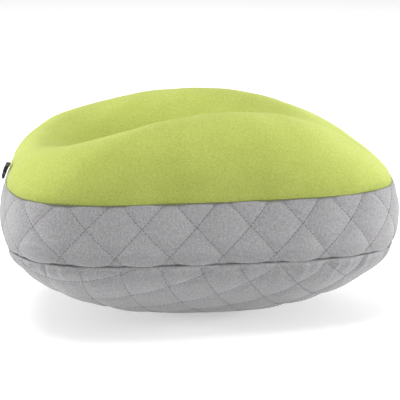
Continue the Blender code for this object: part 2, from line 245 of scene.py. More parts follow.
def bellyLattice(x, y):
    away = []
    for bearing, spacing, offset in bellyQuilt["rows"]:
        across = x * math.sin(bearing) - y * math.cos(bearing)
        away.append(nearestLine((across - offset) / spacing) * spacing)
    return away


def ripples(arc, seed):
    # uneven gathers along a seam, from waves that never line up
    total = 0
    for step, (length, share) in enumerate(ripple):
        waves = round(arcLength[-1] / length)
        total = total + share * np.sin(2 * math.pi * waves * arc / arcLength[-1] + seed + 1.7 * step)
    return total / 3


def softWaves(points, size, seed):
    # broad hand-made unevenness
    x, y, z = (points[..., axis] / size for axis in range(3))
    return (
        np.sin(2.1 * x + 1.3 * y + seed) * np.sin(1.7 * y - 0.9 * z + 2 * seed)
        + 0.6 * np.sin(3.7 * x - 2.2 * z + 3 * seed) * np.sin(4.1 * y + seed)
    ) / 1.6


def seamOffset(panel, fromSeam, angle, face):
    # how far the cloth stands off its smooth face, by its seams and its broad waves
    share, reach, power, seed = clothLie[panel]["gathers"]
    gather = share * seamRoll["gather"] * ripples(arcAt(angle), seed) * np.exp(-((fromSeam / reach) ** power))
    tuck = seamRoll["tuck"] * np.exp(-((fromSeam / seamRoll["reach"]) ** 1.5))
    height, size, seed = clothLie[panel]["waves"]
    gather = gather * (1 - np.exp(-fromSeam / seamRoll["gatherStart"]))
    return gather - tuck + height * softWaves(face, size, seed)


zipSlot = {"angle": math.pi / 2, "halfLength": 0.0870, "halfHeight": 0.0070, "corner": 0.0025, "hem": 0.0024}
deepest = {"quilted": -0.0022, "plush": -0.0018}  # so that the layers below stay covered
seamClear = 0.00015  # each panel stops this far from the seam's line
flatRest = {"start": 0.0005, "reach": 0.012}  # the belly's puffs fade out over this height above the ground


def seamFrame(seam, inset, angle, step=0.01):
    # X along the seam, Y outwards and Z up, at a point of the seam
    def at(turn):
        along, across = planPoint(1, turn)
        return Vector(placed(along, across, inset, seam(along)))

    before, here, after = at(angle - step), at(angle), at(angle + step)
    tangent = (before - after).normalized()
    out = Vector((0, 0, 1)).cross(tangent).normalized()
    turn = Matrix((tangent, out, tangent.cross(out))).transposed().to_4x4()
    return Matrix.Translation(here) @ turn


zipFrame = seamFrame(lowerSeam, pillow["lowerInset"], zipSlot["angle"])


def slotHeight(angle):
    # how far the cloth's edge stands from the lower seam, where the zip's slot is
    edge = bandFace(0, angle)
    origin, along = np.array(zipFrame.translation), np.array(zipFrame.col[0])[:3]
    reach = zipSlot["halfLength"] - np.abs((edge - origin) @ along)
    reach = np.where(edge[..., 1] > 0, reach, -1)
    inside = np.clip(reach / zipSlot["corner"], 0, 1)
    return zipSlot["halfHeight"] * np.sqrt(1 - (1 - inside) ** 2)


def bandStart(angle):
    return slotHeight(angle) / bandHeight


def bellyEnd(angle):
    rest = bellyRise(bellyShape["restShare"])
    rise = (1 - rest) * slotHeight(angle) / lowerSeam(planPoint(1, angle)[0])
    return (1 - rise ** bellyShape["roundness"]) ** (1 / bellyShape["power"])


def bandCloth(level, angle):
    face = bandFace(level, angle)
    away = bandLattice(level, angle)
    quilt = pinched(away[0], bandQuilt["crease"]) * pinched(away[1], bandQuilt["crease"])
    fromSeam = np.maximum(0, np.minimum(level - bandStart(angle), 1 - level)) * bandHeight
    offset = bandQuilt["puff"] * (quilt - restLevel) + seamOffset("band", fromSeam, angle, face)
    offset = np.maximum(offset, deepest["quilted"])
    clear = np.stack(np.broadcast_arrays(0, 0, seamClear * (1 - 2 * level)), axis=-1)
    return face + clear + offset[..., None] * faceNormal(bandFace, level, angle)


def bellyCloth(share, angle):
    face = bellyFace(share, angle)
    away = bellyLattice(*bellyFlat(share, angle))
    quilt = pinched(away[0], bellyQuilt["crease"]) * pinched(away[1], bellyQuilt["crease"])
    fromSeam = lengthOf(bellyFace(bellyEnd(angle), angle) - face)
    offset = bellyQuilt["puff"] * (quilt - restLevel) + seamOffset("belly", fromSeam, angle, face)
    offset = np.maximum(offset, deepest["quilted"])
    offset = offset * np.clip((face[..., 2] - flatRest["start"]) / flatRest["reach"], 0, 1)
    clear = np.stack(np.broadcast_arrays(0, 0, -seamClear * share**8), axis=-1)
    return face + clear + offset[..., None] * faceNormal(bellyFace, share, angle)


def crownCloth(share, angle):
    face = crownFace(share, angle)
    fromSeam = lengthOf(crownFace(np.ones_like(share), angle) - face)
    offset = np.maximum(seamOffset("crown", fromSeam, angle, face), deepest["plush"])
    return face + np.array([0, 0, seamClear]) + offset[..., None] * faceNormal(crownFace, share, angle)


def inwards(cloth, face, depth):
    # a layer that lies this far under a cloth, along its face's normal
    def lowered(row, angle):
        return cloth(row, angle) - depth * faceNormal(face, row, angle)

    return lowered


# Grids and meshes


def discGrid(half, crowding=1.7):
    # a square grid drawn onto the plan, closer together towards the rim
    side = np.arange(-half, half + 1)
    u, v = np.meshgrid(side, side, indexing="ij")
    ring = np.maximum(np.abs(u), np.abs(v)) / half
    return 1 - (1 - ring) ** crowding, np.mod(np.arctan2(v, u), 2 * math.pi)


def ringGrid(rows, columns):
    level = 0.5 - 0.5 * np.cos(np.linspace(0, math.pi, rows))
    level = 0.35 * level + 0.65 * np.linspace(0, 1, rows)
    return np.meshgrid(level, turnsOf(columns), indexing="ij")


def gridQuads(index, wraps):
    right = np.roll(index, -1, axis=1) if wraps else index[:, 1:]
    left = index if wraps else index[:, :-1]
    return np.stack([left[:-1], right[:-1], right[1:], left[1:]], axis=-1).reshape(-1, 4)


def loopQuads(first, second):
    return np.stack([first, np.roll(first, -1), np.roll(second, -1), second], axis=-1)


def edgeLoops(index, wraps):
    if wraps:
        return [index[0], index[-1]]
    loop = np.concatenate([index[0, :-1], index[:-1, -1], index[-1, :0:-1], index[:0:-1, 0]])
    return [loop]


def addObject(name, data):
    thing = bpy.data.objects.new(name, data)
    bpy.context.scene.collection.objects.link(thing)
    return thing


def meshFrom(name, points, faces):
    mesh = bpy.data.meshes.new(name)
    mesh.from_pydata(np.reshape(points, (-1, 3)).tolist(), [], [list(map(int, face)) for face in faces])
    builder = bmesh.new()
    builder.from_mesh(mesh)
    bmesh.ops.recalc_face_normals(builder, faces=builder.faces)
    builder.to_mesh(mesh)
    builder.free()
    mesh.shade_smooth()
    return addObject(name, mesh)


def clothUv(piece, flat):
    # where each corner lies on the flat cloth, in metres, for the knit and the weave
    layer = piece.data.uv_layers.new(name="cloth")
    corners = np.zeros(len(piece.data.loops), dtype=np.int32)
    piece.data.loops.foreach_get("vertex_index", corners)
    layer.data.foreach_set("uv", flat[corners].astype(np.float32).ravel())


def shell(name, grid, outer, inner, flat, wraps=False):
    row, angle = grid
    points = [outer(row, angle).reshape(-1, 3), inner(row, angle).reshape(-1, 3)]
    index = np.arange(row.size).reshape(row.shape)
    faces = [gridQuads(index, wraps), gridQuads(index + row.size, wraps)]
    for loop in edgeLoops(index, wraps):
        faces.append(loopQuads(loop, loop + row.size))
    piece = meshFrom(name, np.concatenate(points), np.concatenate(faces))
    uv = np.stack(np.broadcast_arrays(*flat(row, angle)), axis=-1).reshape(-1, 2)
    clothUv(piece, np.concatenate([uv, uv]))
    return piece


def bandFlat(level, angle):
    return arcAt(angle), level * bandHeight


def crownFlat(share, angle):
    point = crownFace(share, angle)
    return point[..., 0], point[..., 1]


def finishPiece(piece, material, body="cover", replaces=()):
    piece.data.materials.clear()
    piece.data.materials.append(material)
    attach(piece, body)
    if replaces:
        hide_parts(*replaces)
    return piece


# Materials


def newMaterial(name, colour, roughness, **sockets):
    material = bpy.data.materials.new(name)
    material.use_nodes = True
    shader = material.node_tree.nodes["Principled BSDF"]
    shader.inputs["Base Color"].default_value = (*colour, 1)
    shader.inputs["Roughness"].default_value = roughness
    for socket, value in sockets.items():
        shader.inputs[socket].default_value = value
    return material


def addNode(material, kind, links=None, **values):
    # values go to the node's own settings or its sockets, links are sockets to join
    node = material.node_tree.nodes.new(kind)
    for key, value in values.items():
        if hasattr(node, key):
            setattr(node, key, value)
        else:
            node.inputs[key.replace("_", " ").title()].default_value = value
    for socket, source in (links or {}).items():
        material.node_tree.links.new(source, node.inputs[socket])
    return node


def onShader(material, socket, source):
    shader = material.node_tree.nodes["Principled BSDF"]
    material.node_tree.links.new(source, shader.inputs[socket])


def clothCoordinates(material, stretch=(1, 1, 1), useUv=True):
    if useUv:
        source = addNode(material, "ShaderNodeUVMap", uv_map="cloth").outputs["UV"]
    else:
        source = addNode(material, "ShaderNodeTexCoord").outputs["Object"]
    mapping = addNode(material, "ShaderNodeMapping", {"Vector": source})
    mapping.inputs["Scale"].default_value = stretch
    return mapping.outputs["Vector"]


def noise(material, coordinates, scale, detail=2.0, roughness=0.5):
    node = addNode(material, "ShaderNodeTexNoise", {"Vector": coordinates})
    node.inputs["Scale"].default_value = scale
    node.inputs["Detail"].default_value = detail
    node.inputs["Roughness"].default_value = roughness
    return node.outputs["Fac"]


def waves(material, coordinates, spacing, direction="X", distortion=0.0):
    node = addNode(material, "ShaderNodeTexWave", {"Vector": coordinates}, bands_direction=direction)
    node.inputs["Scale"].default_value = 2 * math.pi / (20 * spacing)
    node.inputs["Distortion"].default_value = distortion
    node.inputs["Detail"].default_value = 0
    return node.outputs["Fac"]


def ramp(material, source, stops):
    node = addNode(material, "ShaderNodeValToRGB", {"Fac": source})
    elements = node.color_ramp.elements
    for element, (place, colour) in zip(elements, (stops[0], stops[-1])):
        element.position = place
        element.color = (*colour, 1)
    for place, colour in stops[1:-1]:
        elements.new(place).color = (*colour, 1)
    return node.outputs["Color"]


def tinted(material, *shades):
    # the colours multiplied together, as the shader's base colour
    colour = shades[0]
    for shade in shades[1:]:
        sockets = {6: colour, 7: shade}
        mix = addNode(material, "ShaderNodeMix", sockets, data_type="RGBA", blend_type="MULTIPLY")
        mix.inputs["Factor"].default_value = 1
        colour = mix.outputs[2]
    onShader(material, "Base Color", colour)


def mathOf(material, operation, *values):
    node = addNode(material, "ShaderNodeMath", operation=operation)
    for socket, value in zip(node.inputs, values):
        if isinstance(value, bpy.types.NodeSocket):
            material.node_tree.links.new(value, socket)
        else:
            socket.default_value = value
    return node.outputs["Value"]


def bump(material, height, distance, strength=1.0, under=None):
    node = addNode(material, "ShaderNodeBump", {"Height": height})
    node.inputs["Distance"].default_value = distance
    node.inputs["Strength"].default_value = strength
    if under:
        material.node_tree.links.new(under, node.inputs["Normal"])
    return node.outputs["Normal"]


def paintedSlopeShade(material, shades):
    # painted shade by slope: the colour is darkened where the cloth faces sideways or down, a shade for each
    # place between facing down, 0, and facing up, 1
    facing = addNode(material, "ShaderNodeTexCoord").outputs["Normal"]
    up = addNode(material, "ShaderNodeSeparateXYZ", {"Vector": facing}).outputs["Z"]
    share = mathOf(material, "MULTIPLY_ADD", up, 0.5, 0.5)
    return ramp(material, share, [(place, (shade,) * 3) for place, shade in shades])


def scaled(colour, factor):
    return tuple(min(1, channel * factor) for channel in colour)


# the last entry of each finish is painted shade: a colour factor for each facing, from down, 0, to up, 1
plushFinish = {"colour": (0.500, 0.566, 0.130), "pale": 1.22, "dark": 0.79, "grain": 2200, "nap": 0.00032,
               "slopeShade": ((0.50, 0.74), (0.68, 0.80), (0.80, 0.92), (0.92, 1.0))}
jerseyFinish = {"colour": (0.335, 0.330, 0.335), "pale": 1.22, "dark": 0.78, "wale": 0.0012, "knit": 0.00022,
                "slopeShade": ((0.05, 1.0), (0.15, 0.94), (0.28, 0.84), (0.38, 0.88), (0.46, 1.0))}


def plushMaterial(name, finish):
    # brushed knit: short nap, heather fibres and hand marks where the nap lies another way, with painted
    # shade on the steep cloth
    colour = finish["colour"]
    material = newMaterial(
        name, colour, 0.95, **{"Sheen Weight": 0.15, "Sheen Roughness": 0.55, "Specular IOR Level": 0.15}
    )
    material.node_tree.nodes["Principled BSDF"].inputs["Sheen Tint"].default_value = (0.95, 1.0, 0.70, 1)
    place = clothCoordinates(material, useUv=False)
    fibres = noise(material, place, finish["grain"], 3.0, 0.65)
    tufts = noise(material, place, finish["grain"] / 3.2, 2.0, 0.6)
    marks = noise(material, place, 22, 2.0, 0.5)
    heather = ramp(
        material, fibres,
        [(0.34, scaled(colour, finish["dark"])), (0.5, colour), (0.68, scaled(colour, finish["pale"]))],
    )
    mottled = ramp(material, tufts, [(0.36, (0.84, 0.85, 0.80)), (0.64, (1.0, 1.0, 1.0))])
    brushed = ramp(material, marks, [(0.35, (0.93, 0.94, 0.88)), (0.65, (1.0, 1.0, 1.0))])
    # the last factor is painted shade, darker where the plush faces sideways
    tinted(material, heather, mottled, brushed, paintedSlopeShade(material, finish["slopeShade"]))
    nap = bump(material, fibres, finish["nap"], 0.9)
    onShader(material, "Normal", bump(material, tufts, 1.6 * finish["nap"], 0.7, nap))
    return material


def jerseyMaterial(name, finish):
    # melange jersey: pale and dark fibres along the wales of a fine knit, with painted shade where the cloth
    # slopes downwards
    colour = finish["colour"]
    material = newMaterial(
        name, colour, 0.88, **{"Sheen Weight": 0.18, "Sheen Roughness": 0.5, "Specular IOR Level": 0.2}
    )
    place = clothCoordinates(material, (1, 0.45, 1))
    even = clothCoordinates(material)
    fibres = noise(material, place, 1400, 2.0, 0.6)
    flecks = noise(material, place, 520, 2.0, 0.55)
    clouds = noise(material, even, 60, 2.0, 0.5)
    melange = ramp(
        material, fibres,
        [(0.32, scaled(colour, finish["dark"])), (0.5, colour), (0.7, scaled(colour, finish["pale"]))],
    )
    flecked = ramp(material, flecks, [(0.36, (0.84, 0.84, 0.85)), (0.62, (1.0, 1.0, 1.0))])
    clouded = ramp(material, clouds, [(0.3, (0.95, 0.945, 0.95)), (0.7, (1.0, 1.0, 1.0))])
    # the last factor is painted shade, darker where the jersey faces partly down
    tinted(material, melange, flecked, clouded, paintedSlopeShade(material, finish["slopeShade"]))
    wales = waves(material, even, finish["wale"], "X", 0.6)
    courses = waves(material, even, finish["wale"] * 0.8, "Y", 0.6)
    knit = mathOf(material, "MULTIPLY", wales, courses)
    under = bump(material, knit, finish["knit"], 0.7)
    onShader(material, "Normal", bump(material, fibres, finish["knit"], 0.5, under))
    return material


def wovenMaterial(name, colour, spacing, roughness=0.8, depth=0.0002, ribbed=False, **sockets):
    # plain weave, or the slanting ribs of webbing
    material = newMaterial(name, colour, roughness, **sockets)
    place = clothCoordinates(material)
    warp = waves(material, place, spacing, "DIAGONAL" if ribbed else "X")
    weft = waves(material, place, spacing * (1.6 if ribbed else 1.0), "Y")
    cloth = mathOf(material, "MULTIPLY", warp, weft)
    fibres = noise(material, place, 2200, 2.0, 0.6)
    shade = ramp(material, cloth, [(0.0, scaled(colour, 0.72)), (0.8, scaled(colour, 1.15))])
    worn = ramp(material, fibres, [(0.3, (0.88, 0.88, 0.88)), (0.7, (1.0, 1.0, 1.0))])
    tinted(material, shade, worn)
    under = bump(material, cloth, depth, 0.9)
    onShader(material, "Normal", bump(material, fibres, depth * 0.4, 0.5, under))
    return material


def fluffMaterial(name, colour, scale, depth):
    # wadding and foam: a tangle or open cells, seen only when the cover is off
    material = newMaterial(name, colour, 0.97, **{"Sheen Weight": 0.2})
    place = clothCoordinates(material, useUv=False)
    cells = addNode(material, "ShaderNodeTexVoronoi", {"Vector": place})
    cells.inputs["Scale"].default_value = scale
    clouds = noise(material, place, scale / 6, 3.0, 0.6)
    shade = ramp(material, cells.outputs["Distance"], [(0.0, scaled(colour, 0.80)), (0.6, colour)])
    soft = ramp(material, clouds, [(0.3, (0.93, 0.93, 0.92)), (0.7, (1.0, 1.0, 1.0))])
    tinted(material, shade, soft)
    onShader(material, "Normal", bump(material, cells.outputs["Distance"], depth, 0.8))
    return material


def hardMaterial(name, colour, roughness, metallic, grain=900):
    # moulded resin or plated metal, rubbed paler on its high grain
    material = newMaterial(name, colour, roughness, Metallic=metallic)
    place = clothCoordinates(material, useUv=False)
    grains = noise(material, place, grain, 3.0, 0.6)
    shade = ramp(material, grains, [(0.35, scaled(colour, 0.8)), (0.7, scaled(colour, 1.25))])
    tinted(material, shade)
    rubbed = ramp(material, grains, [(0.3, (roughness * 0.8,) * 3), (0.7, (min(1, roughness * 1.2),) * 3)])
    onShader(material, "Roughness", rubbed)
    onShader(material, "Normal", bump(material, grains, 0.00004, 0.5))
    return material


def threadMaterial(name, colour):
    # two plies twisted together
    material = newMaterial(name, colour, 0.7, **{"Sheen Weight": 0.2})
    place = clothCoordinates(material, useUv=False)
    plies = noise(material, place, 2600, 2.0, 0.6)
    tinted(material, ramp(material, plies, [(0.3, scaled(colour, 0.7)), (0.7, scaled(colour, 1.35))]))
    onShader(material, "Normal", bump(material, plies, 0.0001, 0.6))
    return material


plush = plushMaterial("greenPlush", plushFinish)
jersey = jerseyMaterial("greyJersey", jerseyFinish)
quiltThread = threadMaterial("quiltThread", (0.085, 0.085, 0.090))
# the two seam cords are painted shadow: dark tubes laid in the seam grooves
upperSeamShade = threadMaterial("upperSeamShadeCord", (0.13, 0.14, 0.06))
lowerSeamShade = threadMaterial("lowerSeamShadeCord", (0.11, 0.11, 0.115))
labelThread = threadMaterial("labelThread", (0.62, 0.62, 0.61))
blackThread = threadMaterial("blackThread", (0.02, 0.02, 0.021))
wadding = fluffMaterial("wadding", (0.85, 0.85, 0.84), 900, 0.0006)
foam = fluffMaterial("foam", (0.80, 0.74, 0.55), 1200, 0.0004)
backing = wovenMaterial("backing", (0.72, 0.72, 0.72), 0.0009)
liner = wovenMaterial("liner", (0.86, 0.86, 0.84), 0.0006)
binding = wovenMaterial("binding", (0.22, 0.22, 0.23), 0.0009)
webbing = wovenMaterial("blackWebbing", (0.004, 0.004, 0.0045), 0.0016, 0.62, 0.0004, ribbed=True)
zipTape = wovenMaterial("zipTape", (0.26, 0.26, 0.27), 0.0006, 0.85, 0.00012)
zipResin = hardMaterial("zipResin", (0.17, 0.17, 0.18), 0.42, 0.0)
zipMetal = hardMaterial("zipMetal", (0.09, 0.09, 0.10), 0.38, 0.8)
labelSatin = wovenMaterial("labelSatin", (0.80, 0.80, 0.79), 0.0005, 0.45, 0.00006)
print("materials made")


# The cover's panels

detail = {"crown": 88, "belly": 88, "bandRows": 44, "bandColumns": 760, "hidden": 34}
crownGrid = discGrid(detail["crown"])
bellyGrid = discGrid(detail["belly"], 1.45)
bandGrid = ringGrid(detail["bandRows"], detail["bandColumns"])


def openedBand(grid):
    level, angle = grid
    start = bandStart(angle)
    return start + (1 - start) * level, angle


def openedBelly(grid):
    share, angle = grid
    return share * (1 - (1 - bellyEnd(angle)) * share**8), angle


topPanel = shell("topPanel", crownGrid, crownCloth, inwards(crownFace, crownFace, layers["plush"]), crownFlat)
finishPiece(topPanel, plush, replaces=["top_panel"])

sideBand = shell(
    "sideBand", openedBand(bandGrid), bandCloth,
    inwards(bandCloth, bandFace, layers["jersey"]), bandFlat, True,
)
finishPiece(sideBand, jersey, replaces=["side_band"])

bottomPanel = shell(
    "bottomPanel", openedBelly(bellyGrid), bellyCloth,
    inwards(bellyCloth, bellyFace, layers["jersey"]), bellyFlat,
)
finishPiece(bottomPanel, jersey, replaces=["bottom_panel"])
print("cover panels made")


# What the cover holds: wadding, backing, seam bindings, the lined foam

innerDepth = {
    "binding": 0.0030,
    "bindingReach": 0.0030,
    "bindingSpread": 0.0060,
    "ease": 0.0002,
    "split": 0.0003,  # between the liner's halves
    "bend": 0.8,  # the share of a half's rows that lie under its panel, with the rest under the band
}


def distanceToSeam(face, row, angle):
    if face is bandFace:
        return np.minimum(row, 1 - row) * bandHeight
    return lengthOf(face(np.ones_like(row), angle) - face(row, angle))


def under(face, depth):
    # a smooth face at a depth that may change with the distance from the seam
    def buried(row, angle):
        deep = depth(distanceToSeam(face, row, angle)) if callable(depth) else depth
        deep = np.broadcast_to(deep, np.shape(row * angle))
        point = face(row, angle)
        lowered = point - deep[..., None] * faceNormal(face, row, angle)
        if face is bellyFace:  # straight up over the flat patch
            raised = point + deep[..., None] * np.array([0, 0, 1])
            flat = np.clip(1 - (row - bellyShape["restShare"]) / 0.12, 0, 1)[..., None]
            lowered = lowered * (1 - flat) + raised * flat
        return lowered

    return buried


def waddingTop(distance):
    return layers["jersey"] + 0.0011 + 0.0013 * np.exp(-((distance / 0.005) ** 2))


def linerUnder(face, cover, extra):
    # the liner lies under a cover this thick, and deeper behind the seams, to pass the bindings
    deep = quiltDepth + innerDepth["binding"] + 2 * layers["gap"] + innerDepth["ease"]

    def depth(distance):
        near = np.exp(-((distance / innerDepth["bindingSpread"]) ** 4))
        return cover + (deep - cover) * near + extra

    return under(face, depth)


def linerHalf(face, cover, seamLevel, extra):
    # a panel out to its seam, then the band to its middle, as one path
    panel = linerUnder(face, cover + layers["gap"], extra)
    band = linerUnder(bandFace, quiltDepth + layers["gap"], extra)
    bend, halfBand = innerDepth["bend"], 0.5 - innerDepth["split"] / 2 / bandHeight

    def path(row, angle):
        level = np.abs(seamLevel - np.clip((row - bend) / (1 - bend), 0, 1) * halfBand)
        return np.where((row < bend)[..., None], panel(np.minimum(row / bend, 1), angle), band(level, angle))

    return path


def upperHalf(extra):
    return linerHalf(crownFace, layers["plush"], 1, extra)


def lowerHalf(extra):
    return linerHalf(bellyFace, quiltDepth, 0, extra)


def planFlat(share, angle):
    along, across = planPoint(share, angle)
    return pillow["halfLength"] * along, pillow["halfDepth"] * across


hiddenDisc = discGrid(detail["hidden"], 1.9)
hiddenRing = ringGrid(14, 8 * detail["hidden"])

for panel, node, face, grid, flat, wraps in (
    ("sideBand", "side_band", bandFace, openedBand(hiddenRing), bandFlat, True),
    ("bottomPanel", "bottom_panel", bellyFace, openedBelly(hiddenDisc), planFlat, False),
):
    back = layers["jersey"] + layers["wadding"] + layers["gap"]
    fill = shell(panel + "Wadding", grid, under(face, waddingTop), under(face, back), flat, wraps)
    finishPiece(fill, wadding, replaces=[node + "_wadding"])
    back = back + layers["gap"]
    inner = under(face, back + layers["backing"])
    scrim = shell(panel + "Backing", grid, under(face, back), inner, flat, wraps)
    finishPiece(scrim, backing, replaces=[node + "_backing"])

for name, node, half in (("linerTop", "liner_top", upperHalf), ("linerBottom", "liner_bottom", lowerHalf)):
    case = shell(name, hiddenDisc, half(0), half(layers["liner"]), planFlat)
    finishPiece(case, liner, replaces=[node])


def makeFoam():
    depth = layers["liner"] + layers["gap"]
    row, angle = hiddenDisc
    top, bottom = upperHalf(depth)(row, angle), lowerHalf(depth)(row, angle)
    index = np.arange(row.size).reshape(row.shape)
    rim = edgeLoops(index, False)[0]
    points = np.concatenate([top.reshape(-1, 3), bottom.reshape(-1, 3)])
    faces = [gridQuads(index, False), gridQuads(index + row.size, False), loopQuads(rim, rim + row.size)]
    return meshFrom("foamCore", points, np.concatenate(faces))


finishPiece(makeFoam(), foam, replaces=["foam_core"])


def makeBinding(name, seamRow, other, otherRow):
    # a folded tape over the seam allowance: half behind the band, half behind the other panel
    reach, start = innerDepth["bindingReach"], quiltDepth + layers["gap"]
    angle = turnsOf(8 * detail["hidden"])
    bandRows = np.abs(seamRow - np.linspace(reach, 0, 4) / bandHeight)
    otherRows = np.linspace(1, otherRow, 4)
    sheets = []
    for depth in (start, start + innerDepth["binding"]):
        rings = [under(bandFace, depth)(np.full_like(angle, row), angle) for row in bandRows]
        rings += [under(other, depth)(np.full_like(angle, row), angle) for row in otherRows]
        sheets.append(np.array(rings))
    rows, columns = sheets[0].shape[:2]
    index = np.arange(rows * columns).reshape(rows, columns)
    size = rows * columns
    faces = [gridQuads(index, True), gridQuads(index + size, True)]
    faces += [loopQuads(index[row], index[row] + size) for row in (0, -1)]
    piece = meshFrom(name, np.concatenate(sheets).reshape(-1, 3), np.concatenate(faces))
    across = np.repeat(np.linspace(0, 2 * reach, rows), columns)
    flat = np.stack([np.tile(arcAt(angle), rows), across], axis=-1)
    clothUv(piece, np.concatenate([flat, flat]))
    return piece


for name, node, seamRow, other, otherRow in (
    ("upperSeamBinding", "upper_seam_binding", 1, crownFace, 0.99955),
    ("lowerSeamBinding", "lower_seam_binding", 0, bellyFace, 0.9955),
):
    finishPiece(makeBinding(name, seamRow, other, otherRow), binding, replaces=[node])
print("inner layers made")


# Threads: quilting and hems, and dark cords in the seams as painted seam shadow

stitch = {"length": 0.0028, "gap": 0.0006, "radius": 0.00029, "dip": 0.00028, "lift": 0.00006}
# dark cords sunk in the seam grooves, as painted seam shadow
seamShadeCords = {"upper": 0.00050, "lower": 0.00040, "sunk": 0.0008, "points": 720, "zipGap": 0.004}


def stitches(name, lines, look=stitch, sides=6):
    # each line is (points, normals) on the cloth; a stitch is a thread that dips in at both ends
    paths, outs = [], []
    for line, normals in lines:
        way = np.concatenate([[0], np.cumsum(lengthOf(np.diff(line, axis=0)))])
        pitch = look["length"] + look["gap"]
        count = int(way[-1] / pitch)
        if count < 1:
            continue
        start = (way[-1] - count * pitch + look["gap"]) / 2 + np.arange(count) * pitch
        walk = start[:, None] + look["length"] * np.array([0, 0.12, 0.5, 0.88, 1])
        paths.append(np.stack([np.interp(walk, way, line[:, axis]) for axis in range(3)], axis=-1))
        outs.append(np.stack([np.interp(walk, way, normals[:, axis]) for axis in range(3)], axis=-1))
    centres, normals = np.concatenate(paths), np.concatenate(outs)
    aside = unit(np.cross(centres[:, -1:] - centres[:, :1], normals))
    lift = np.array([-look["dip"], 0, look["lift"], 0, -look["dip"]])[None, :, None]
    radius = look["radius"] * np.array([0.4, 0.9, 1, 0.9, 0.4])[None, :, None, None]
    turn = turnsOf(sides)
    spin = normals[:, :, None] * np.cos(turn)[:, None] + aside[:, :, None] * np.sin(turn)[:, None]
    rings = (centres + normals * lift)[:, :, None] + radius * spin
    rings[..., 2] = np.maximum(rings[..., 2], 0.00005)
    index = np.arange(rings[..., 0].size).reshape(rings.shape[:3])
    beside = np.roll(index, -1, axis=2)
    quads = np.stack([index[:, :-1], index[:, 1:], beside[:, 1:], beside[:, :-1]], axis=-1).reshape(-1, 4)
    caps = np.concatenate([index[:, 0], index[:, -1]])
    return meshFrom(name, rings.reshape(-1, 3), quads.tolist() + caps.tolist())


def tube(name, points, normals, radius, closed=True, sides=8):
    ahead = np.roll(points, -1, axis=0) - np.roll(points, 1, axis=0)
    if not closed:
        ahead[0], ahead[-1] = points[1] - points[0], points[-1] - points[-2]
    aside = unit(np.cross(ahead, normals))
    turn = turnsOf(sides)
    spin = normals[:, None] * np.cos(turn)[:, None] + aside[:, None] * np.sin(turn)[:, None]
    rings = points[:, None] + radius * spin
    index = np.arange(len(points) * sides).reshape(-1, sides)
    behind = index if closed else index[:-1]
    front = np.roll(index, -1, axis=0) if closed else index[1:]
    quads = np.stack([behind, front, np.roll(front, -1, axis=1), np.roll(behind, -1, axis=1)], axis=-1)
    faces = quads.reshape(-1, 4).tolist()
    if not closed:
        faces += [index[0].tolist(), index[-1].tolist()]
    return meshFrom(name, rings.reshape(-1, 3), faces)


def onCloth(cloth, face, row, angle):
    return cloth(row, angle), faceNormal(face, row, angle)


def bandLines():
    pitch, lines = arcLength[-1] / bandQuilt["count"], []
    edge = 0.0015 / bandHeight
    for line in range(bandQuilt["count"]):
        for lean in (-1, 1):
            level = np.linspace(edge, 1 - edge, 160)
            rise = (level - bandQuilt["crossingLevel"]) * bandHeight / (2 * bandQuilt["halfHeight"])
            arc = arcAt(bandQuilt["crossingAngle"]) + (line + lean * rise) * pitch
            angle = np.interp(np.mod(arc, arcLength[-1]), arcLength, arcTurn)
            open = level > bandStart(angle) + 1.4 * edge
            if open.sum() > 8:
                lines.append(onCloth(bandCloth, bandFace, level[open], angle[open]))
    return lines


def bellyAt(x, y, steps=160):
    # the share and angle of a point of the belly's flat cloth
    bearing = np.mod(np.arctan2(y, x), 2 * math.pi)
    angle = np.interp(bearing, np.mod(rimBearing, 2 * math.pi)[:-1], arcTurn[:-1])
    walk = np.linspace(0, 1, steps)[:, None]
    points = bellyFace(walk * np.ones_like(angle), angle * np.ones_like(walk))
    way = np.concatenate([np.zeros((1, len(angle))), np.cumsum(lengthOf(np.diff(points, axis=0)), axis=0)])
    reach = np.hypot(x, y)
    share = np.array([np.interp(r, way[:, i], walk[:, 0], right=2) for i, r in enumerate(reach)])
    return share, angle


def bellyLines():
    lines, walk = [], np.linspace(-0.27, 0.27, 541)
    for bearing, spacing, offset in bellyQuilt["rows"]:
        for line in range(-12, 13):
            across = offset + line * spacing
            x = across * math.sin(bearing) + walk * math.cos(bearing)
            y = -across * math.cos(bearing) + walk * math.sin(bearing)
            share, angle = bellyAt(x, y)
            open = share < bellyEnd(angle) - 0.0022
            if open.sum() > 12:
                lines.append(onCloth(bellyCloth, bellyFace, share[open], angle[open]))
    return lines


bandQuilting = finishPiece(stitches("bandQuilting", bandLines()), quiltThread)
bellyQuilting = finishPiece(stitches("bellyQuilting", bellyLines()), quiltThread)


def seamLine(face, row, angle, sunk):
    normal = faceNormal(face, row, angle)
    return face(row, angle) - sunk * normal, normal


# a dark cord along a seam, as painted shadow in its groove
def layShadeCord(name, row, turns, radius, material, closed=True):
    line = seamLine(bandFace, np.full(len(turns), float(row)), turns, seamShadeCords["sunk"])
    finishPiece(tube(name, *line, radius, closed), material)


turns = turnsOf(seamShadeCords["points"])
layShadeCord("upperSeamShadeLine", 1, turns, seamShadeCords["upper"], upperSeamShade)
slotTurns = turns[np.flatnonzero(slotHeight(turns) > 0)]
ends = slotTurns[-1] + seamShadeCords["zipGap"], slotTurns[0] - seamShadeCords["zipGap"] + 2 * math.pi
layShadeCord("lowerSeamShadeLine", 0, np.linspace(*ends, 640), seamShadeCords["lower"], lowerSeamShade, closed=False)
print("threads made:", len(bandQuilting.data.vertices) + len(bellyQuilting.data.vertices), "points")


# Small parts, drawn in the frame of the seam they sit on


def vertsAt(builder, outline, axis, level):
    return [builder.verts.new(np.insert(np.array(point, float), axis, level)) for point in outline]


